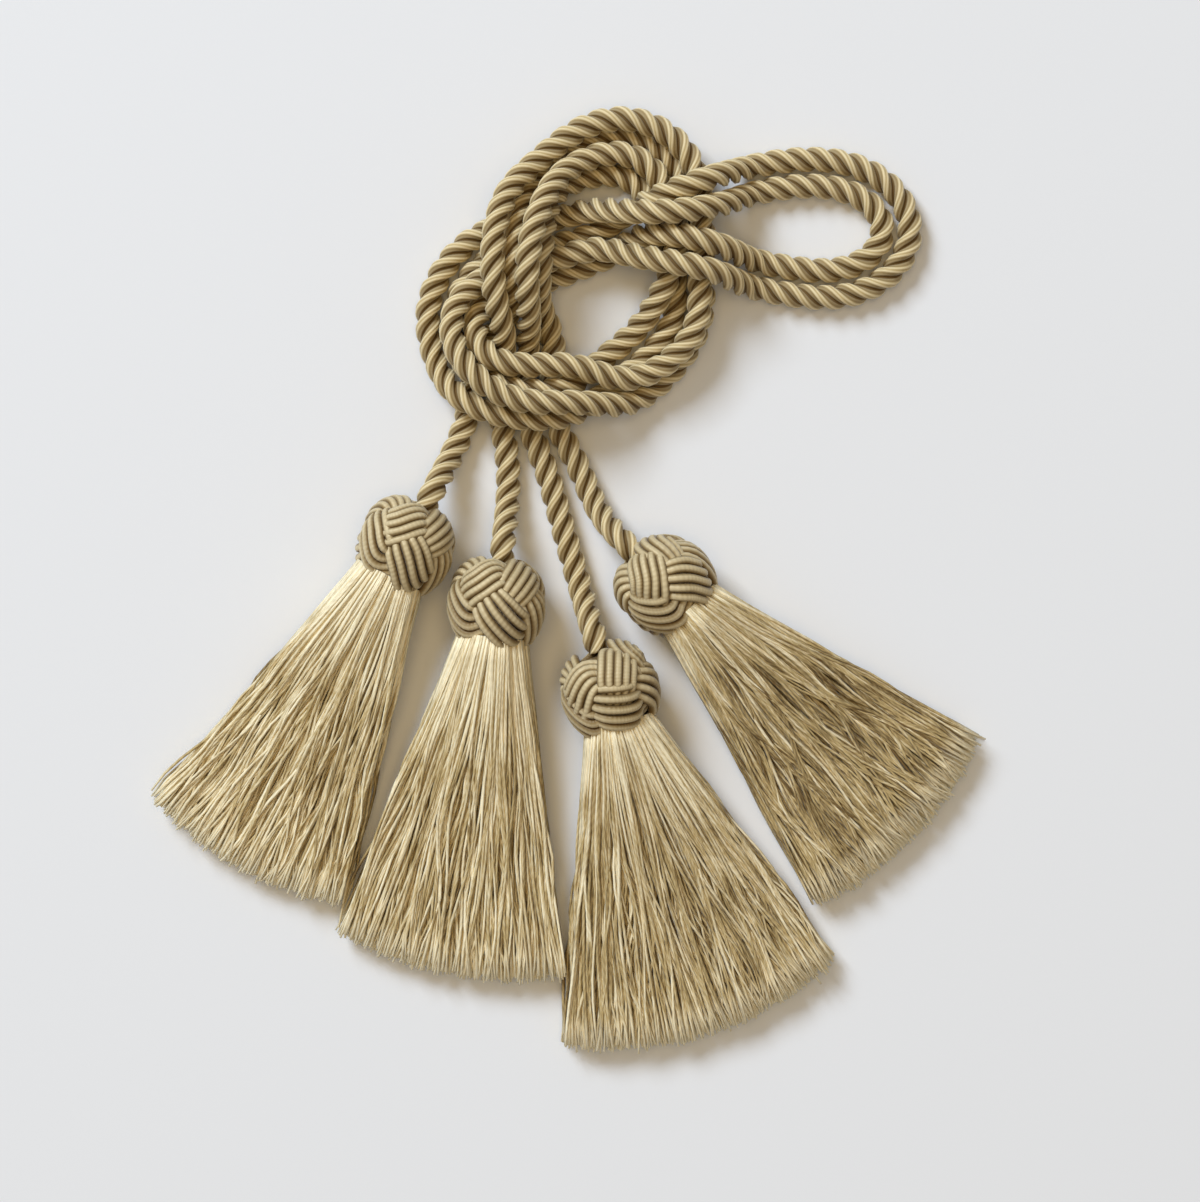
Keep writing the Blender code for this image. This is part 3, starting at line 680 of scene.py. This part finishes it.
def makeHead(number, tassel, places, settings, finish):
    middle, along, across, up = tasselFrame(tassel)
    lines = bandCords(places, settings)
    ways = unit(np.roll(lines, -1, axis=1) - np.roll(lines, 1, axis=1))
    outs = unit(lines - ways * np.sum(lines * ways, axis=-1, keepdims=True))
    sides = np.cross(outs, ways)
    turn = np.arange(settings["columns"]) * math.tau / settings["columns"]
    weave = (lines[:, :, None]
             + settings["cordWide"] * np.cos(turn)[:, None] * sides[:, :, None]
             + settings["cordHigh"] * np.sin(turn)[:, None] * outs[:, :, None])
    cords, rings, columns = weave.shape[:3]
    # along a cord uv counts its plies, in a whole number so that they meet where it closes
    around = float(np.linalg.norm(np.diff(lines[1], axis=0), axis=1).sum())
    run = np.arange(rings) / rings * round(around / settings["twist"])
    uv = np.stack(np.broadcast_arrays(np.arange(cords)[:, None, None] + turn / math.tau,
                                      run[:, None]), -1).reshape(-1, 2)
    # outside: 1 where a cord faces out to 0 where it faces in; the finish paints highlight and
    # shade by it
    facing = np.broadcast_to(0.5 + 0.5 * np.sin(turn), weave.shape[:3]).ravel()
    core = corePoints(settings)
    faces = tubeQuads(cords, rings, columns, looped=True)
    coreFaces = tubeQuads(1, settings["coreRings"], settings["coreColumns"]) + len(uv)
    faces = np.vstack((faces, coreFaces[:, ::-1])).tolist()
    local = np.vstack((weave.reshape(-1, 3), core))
    world = middle + local[:, :1] * across + local[:, 1:2] * up - local[:, 2:] * along
    keepOffFloor(world)
    uv = np.vstack((uv, np.zeros((len(core), 2))))
    # the core under the weave takes outside 0, so it is coloured the painted shade deep
    masks = {"outside": np.append(facing, np.zeros(len(core)))}
    piece = meshPiece(f"head_{number}_weave", world, faces, uv, masks, finish)
    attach(piece, "root")
    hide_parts(f"head_{number}")


def headFinish(settings):
    made = Finish("headGimp", settings["constants"])
    outside = made.mask("outside")
    plies = made.node("VectorMath", {"operation": "DOT_PRODUCT"},
                      {0: made.uv(), 1: (math.tau, math.tau, 0.0)}, gives=1)
    ply = made.sine(plies)
    patch = made.noise(made.stretched(settings["patchStretch"]), *settings["patchGrain"])
    # painted highlight: the crest of each cord is paler, and each ply a little
    crest = made.ramp(outside, settings["crestStops"])
    paleBy, roughBy = settings["paleBy"], settings["roughBy"]
    lit = (crest * paleBy["crest"] + patch * paleBy["patch"] + ply * paleBy["ply"]
           - paleBy["less"])
    yarn = made.blendColour(lit, settings["gold"], settings["pale"])
    # painted shade: the cords' flanks and undersides and the core are deep brown
    depth = made.ramp(outside, settings["depthStops"])
    made.colour(made.blendColour(depth, settings["deep"], yarn))
    made.roughness(roughBy["base"] + patch * roughBy["patch"])
    made.bump(ply, *settings["bump"])
    return made.material


headGimp = headFinish(headSettings)
for number, (tassel, places) in enumerate(zip(tassels, weavePlaces), start=1):
    makeHead(number, tassel, places, headSettings, headGimp)
print("heads woven")

skirtSettings = {
    "threads": 1080,
    "layers": 9,
    "layerStray": 0.45,          # how far a thread strays up or down, in layers
    "rootRadius": 9.8 * mm,
    "rootAlong": 10.0 * mm,      # where the threads start, from the head's middle
    "measuredFrom": 12.7 * mm,   # where the skirt's length is measured from
    "threadRadius": 0.40 * mm,
    "thickness": (0.8, 1.25),    # thinnest and thickest thread, in threadRadius
    "endTaper": 0.7,
    "rings": 15,
    "columns": 4,
    "hemLow": 0.6 * mm,
    "hemHigh": 7.6 * mm,
    "sag": 2.0,                  # the power by which the threads come down from the head
    "floorClear": 0.1 * mm,
    # fewest and most waves over the fan and the depth of each size of wisp
    "wisps": (
        (2.5, 5.0, 1.4 * mm),
        (6.0, 9.0, 0.95 * mm),
        (11.0, 15.0, 0.60 * mm),
        (17.0, 24.0, 0.36 * mm),
    ),
    "wispDrift": 2.4,            # waves that a wisp may slide sideways from root to hem
    "wispChange": 0.6,           # how much a wisp's depth comes and goes,
    "wispEvery": 0.37,           # in waves over the fan, as a share of the wisp's own
    "wispLean": 5.0,             # and how far those shift from root to hem
    "looseFrom": 0.06,           # the share of the length where the wisps begin
    "looseOver": 0.45,           # and the share over which they grow to their full depth
    "edgeCalm": 0.7,             # how much of the wisps' depth is lost at the fan's edges
    "stray": 0.7,                # degrees that one thread strays from its even place at the hem
    "strayGrows": 1.3,           # the power by which it strays further down
    "strayOver": 0.7,            # degrees that it may stand out past the fan's edge
    "wave": 0.62 * mm,           # the waviness of one thread
    "waveDepth": (0.3, 1.6),     # shallowest and deepest wave, in wave
    "waves": (0.8, 3.2),         # fewest and most waves from root to hem
    "rise": 0.4 * mm,            # how far the waves lift a thread,
    "riseWaves": 0.8,            # with so many for each wave sideways
    "uneven": 0.008,             # how much of its length a thread is longer or shorter
    "shorter": 0.006,            # how much shorter all the threads are than the fan,
    "lowShorter": 0.012,         # how much more so the lowest are,
    "longest": 1.01,             # and the most that one may be, all as shares of its length
    "twistPitch": 2.6 * mm,      # length of one turn of a thread's two plies
    "layerApart": 3.0,           # from one layer's uv to the next
    "firstDraw": 40,             # the random numbers of the skirts start from here
    "tone": 0.5,
    "toneStray": 0.2,
    "layerShade": 0.16,            # painted shade: how much paler the upper threads are, the lower ones lying in their shade
    "dullest": -0.3,
    "shade": (-0.03, 0.0, 0.04, 0.16),    # painted shade: how much darker each skirt's yarn is made, by how its threads lie to the light
    # gold is the yarn's own colour, pale its painted sheen, and deep painted shade and darker yarn
    "gold": (0.52, 0.39, 0.18),
    "pale": (0.95, 0.84, 0.58),
    "deep": (0.155, 0.095, 0.033),
    "toneStops": {"deep": 0.05, "gold": 0.36, "pale": 0.72},
    # streaks of painted sheen and painted shade along the threads
    "streakStretch": (22.0, 5.5, 1.0),
    "streakGrain": (1.0, 2.0, 0.6),           # scale, detail and roughness of the noise
    "patchStretch": (5.0, 2.5, 1.0),
    "patchGrain": (1.0, 1.0, 0.5),
    # painted sheen: paler at the root, fading out down the skirt
    "rootSheenStops": ((0.06, 1.0), (0.42, 0.0)),
    "endStops": ((0.90, 0.0), (0.99, 0.9)),
    # what makes a thread paler: its tone, the painted sheen and shade of the streaks, random
    # patches, a painted highlight on the plies and the painted sheen at the root
    "paleBy": {"tone": 0.50, "streak": 1.2, "patch": 0.15, "ply": 0.10, "rootSheen": 0.22,
               "less": 0.59},
    "roughBy": {"base": 0.32, "streak": 0.22},
    "bump": (0.5, 0.08 * mm),                 # strength and distance
    "constants": {"Specular IOR Level": 0.5, "Specular Tint": yarnGlint,
                  "Sheen Weight": 0.12, "Sheen Roughness": 0.35},
}


def wispSway(down, place, layer, settings, chance):
    # how far sideways a thread goes with its wisp: the threads of a layer gather in wisps that
    # join and part as they go down
    edge = 1 - settings["edgeCalm"] * np.abs(place) ** 6
    layers = settings["layers"]
    sway = 0
    for few, many, deep in settings["wisps"]:
        count = chance.uniform(few, many, layers)[layer][:, None]
        drift = chance.uniform(-1, 1, layers)[layer][:, None] * settings["wispDrift"]
        phase = chance.uniform(0, math.tau, (2, layers))[:, layer, None]
        comes = np.sin(math.pi * count * settings["wispEvery"] * place + phase[1]
                       + settings["wispLean"] * down)
        swing = np.sin(math.pi * count * place + math.tau * drift * down + phase[0])
        sway = sway + deep * (1 + settings["wispChange"] * comes) * swing
    return sway * edge


def skirtThreads(tassel, settings, chance):
    # Middle lines of all the threads, [thread, ring, xyz], with each one's place over the fan
    # and its height in the pile, both from -1 to 1, and its layer.
    middle, along, across, _ = tasselFrame(tassel)
    threads, layers = settings["threads"], settings["layers"]
    down = np.linspace(0.0, 1.0, settings["rings"])
    low, high = tassel["fan"]
    layer = np.arange(threads) % layers
    stray = chance.uniform(-settings["layerStray"], settings["layerStray"], threads)
    height = (layer + 0.5 + stray) / layers * 2 - 1
    place = (np.arange(threads) + 0.5) / threads * 2 - 1
    share = (place + 1) / 2
    stray = chance.normal(0, settings["stray"], threads)[:, None] * down ** settings["strayGrows"]
    turn = low + (high - low) * share[:, None] + stray
    turn = np.radians(np.clip(turn, low - settings["strayOver"], high + settings["strayOver"]))
    long = tassel["long"][0] + (tassel["long"][1] - tassel["long"][0]) * share
    long = long * (1 + chance.normal(0, settings["uneven"], threads) - settings["shorter"]
                   - settings["lowShorter"] * (1 - height) / 2)
    long = np.minimum(long, settings["longest"] * max(tassel["long"]))[:, None]
    # round section at the root, flat pile at the hem
    rootSide = (place * np.sqrt(1 - height**2 / 2) * settings["rootRadius"])[:, None]
    rootTop = middle[2] + height * np.sqrt(1 - place**2 / 2) * settings["rootRadius"]
    rootAlong = settings["rootAlong"] - settings["measuredFrom"]
    sideways = rootSide + (long * np.sin(turn) - rootSide) * down
    forward = rootAlong + (long * np.cos(turn) - rootAlong) * down
    loose = np.clip((down - settings["looseFrom"]) / settings["looseOver"], 0, 1)
    sideways += loose * wispSway(down, place[:, None], layer, settings, chance)
    phase = chance.uniform(0, math.tau, (2, threads, 1))
    waves = chance.uniform(*settings["waves"], (threads, 1))
    depth = settings["wave"] * chance.uniform(*settings["waveDepth"], (threads, 1))
    sideways += depth * loose * np.sin(math.tau * waves * down + phase[0])
    hem = settings["hemLow"] + (settings["hemHigh"] - settings["hemLow"]) * (height + 1) / 2
    z = hem[:, None] + (rootTop - hem)[:, None] * (1 - down) ** settings["sag"]
    z += (settings["rise"] * loose
          * np.sin(math.tau * waves * settings["riseWaves"] * down + phase[1]))
    root = middle + along * settings["measuredFrom"]
    lines = root + sideways[..., None] * across + forward[..., None] * along
    lines[..., 2] = np.maximum(z, settings["threadRadius"] + settings["floorClear"])
    return lines, place, height, layer


def makeSkirt(number, tassel, settings, finish):
    chance = np.random.default_rng(settings["firstDraw"] + number)
    lines, place, height, layer = skirtThreads(tassel, settings, chance)
    threads, rings = lines.shape[:2]
    columns = settings["columns"]
    ways = unit(np.gradient(lines, axis=1))
    sides = unit(np.cross(ways, (0.0, 0.0, 1.0)))
    ups = np.cross(sides, ways)
    thick = settings["threadRadius"] * chance.uniform(*settings["thickness"], threads)
    taper = np.ones(rings)
    taper[-1] = settings["endTaper"]
    turn = (chance.uniform(0, math.tau, threads)[:, None]
            - np.arange(columns) * math.tau / columns)
    radius = (thick[:, None] * taper)[..., None, None]
    points = lines[:, :, None] + radius * (np.cos(turn)[:, None, :, None] * sides[:, :, None]
                                           + np.sin(turn)[:, None, :, None] * ups[:, :, None])
    points = points.reshape(-1, 3)
    keepOffFloor(points)
    first = np.arange(threads)[:, None] * rings * columns + np.arange(columns)
    faces = tubeQuads(threads, rings, columns).tolist()
    faces += first[:, ::-1].tolist() + (first + (rings - 1) * columns).tolist()
    down = np.linspace(0.0, 1.0, rings)[None, :, None]
    long = np.linalg.norm(np.diff(lines, axis=1), axis=2).sum(axis=1)[:, None, None]
    twist = long * down / settings["twistPitch"] + np.abs(np.arange(columns) * 2 / columns - 1)
    along = np.broadcast_to(down, (threads, rings, columns)).ravel()
    # uv holds the place over the fan, each layer apart from the next, and the place along
    uv = np.stack((np.repeat(place + settings["layerApart"] * layer, rings * columns), along), -1)
    # a random tone for each thread, with painted shade: the lower threads darker under the upper
    # ones, and each skirt darker by its shade
    tone = (settings["tone"] + settings["toneStray"] * chance.standard_normal(threads)
            + settings["layerShade"] * height - 2 * settings["shade"][number - 1])
    tone = np.clip(tone, settings["dullest"], 1)
    masks = {"along": along, "twist": twist.ravel(), "tone": np.repeat(tone, rings * columns)}
    piece = meshPiece(f"skirt_{number}_threads", points, faces, uv, masks, finish)
    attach(piece, "root")
    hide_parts(f"skirt_{number}")


def skirtFinish(settings):
    made = Finish("skirtThread", settings["constants"])
    along = made.mask("along")
    tone = made.mask("tone")
    # ply: the twist of a thread's two plies, for its bump and a painted highlight along each ply
    ply = made.sine(made.mask("twist") * math.pi)
    ply = ply * ply
    streak = made.noise(made.stretched(settings["streakStretch"]), *settings["streakGrain"])
    patch = made.noise(made.stretched(settings["patchStretch"]), *settings["patchGrain"])
    # painted sheen makes the root paler; the rest shows streaks of painted sheen and painted shade
    rootSheen = made.ramp(along, settings["rootSheenStops"])
    paleBy, roughBy = settings["paleBy"], settings["roughBy"]
    lit = (tone * paleBy["tone"] + streak * paleBy["streak"] + patch * paleBy["patch"]
           + ply * paleBy["ply"] - paleBy["less"] + rootSheen * paleBy["rootSheen"])
    stops = tuple((place, settings[tone]) for tone, place in settings["toneStops"].items())
    yarn = made.ramp(lit, stops)
    ends = made.ramp(along, settings["endStops"])
    made.colour(made.blendColour(ends, yarn, settings["pale"]))
    made.roughness(roughBy["base"] + streak * roughBy["streak"])
    made.bump(ply, *settings["bump"])
    return made.material


skirtThread = skirtFinish(skirtSettings)
for number, tassel in enumerate(tassels, start=1):
    makeSkirt(number, tassel, skirtSettings, skirtThread)
print("skirts hung")

studioSettings = {
    "floorSize": 6.0,
    "floorTone": (0.80, 0.80, 0.80),
    "grainTone": (0.7, 0.7, 0.72),
    "grainShare": 0.06,
    "grain": (3.0, 4.0, 0.6),             # scale, detail and roughness of the noise
    "floorConstants": {"Roughness": 0.7, "Specular IOR Level": 0.2},
    "fill": (0.82, 0.89, 1.0),
    "fillStrength": 0.290,
    # a cool key from above the loop's far side, and a warm softbox overhead that reaches between
    # the tassels: the open floor comes out neutral and the shadows warm
    "lamps": (
        {"name": "key", "at": (-2.30, 3.00, 3.30), "size": 2.0, "power": 247.0,
         "tone": (0.756, 0.859, 1.0)},
        {"name": "softbox", "at": (0.0, 0.05, 3.40), "size": 2.2, "power": 33.0,
         "tone": (1.0, 0.70, 0.27)},
    ),
}


def makeFloor(settings):
    half = settings["floorSize"] / 2
    corners = [(-half, -half, 0), (half, -half, 0), (half, half, 0), (-half, half, 0)]
    mesh = bpy.data.meshes.new("floor")
    mesh.from_pydata(corners, [], [(0, 1, 2, 3)])
    made = Finish("floorPaper", settings["floorConstants"])
    grain = made.noise(made.node("TexCoord", gives=3), *settings["grain"])
    made.colour(made.blendColour(grain * settings["grainShare"], settings["floorTone"],
                                 settings["grainTone"]))
    mesh.materials.append(made.material)
    floor = bpy.data.objects.new("floor", mesh)
    bpy.context.collection.objects.link(floor)


def addLights(settings, over):
    world = bpy.data.worlds.new("studio")
    world.use_nodes = True
    backdrop = world.node_tree.nodes["Background"]
    backdrop.inputs["Color"].default_value = (*settings["fill"], 1.0)
    backdrop.inputs["Strength"].default_value = settings["fillStrength"]
    bpy.context.scene.world = world
    for lamp in settings["lamps"]:
        light = bpy.data.lights.new(lamp["name"], "AREA")
        light.energy = lamp["power"]
        light.color = lamp["tone"]
        light.size = lamp["size"]
        held = bpy.data.objects.new(lamp["name"], light)
        held.location = lamp["at"]
        # a lamp shines along its own -Z, here at the middle of the view
        aim = held.location.copy()
        aim.x -= over[0]
        aim.y -= over[1]
        held.rotation_euler = aim.to_track_quat("Z", "Y").to_euler()
        bpy.context.collection.objects.link(held)


makeFloor(studioSettings)
addLights(studioSettings, cameraSettings["over"])
bpy.context.scene.view_settings.view_transform = "Standard"
print("studio lit")
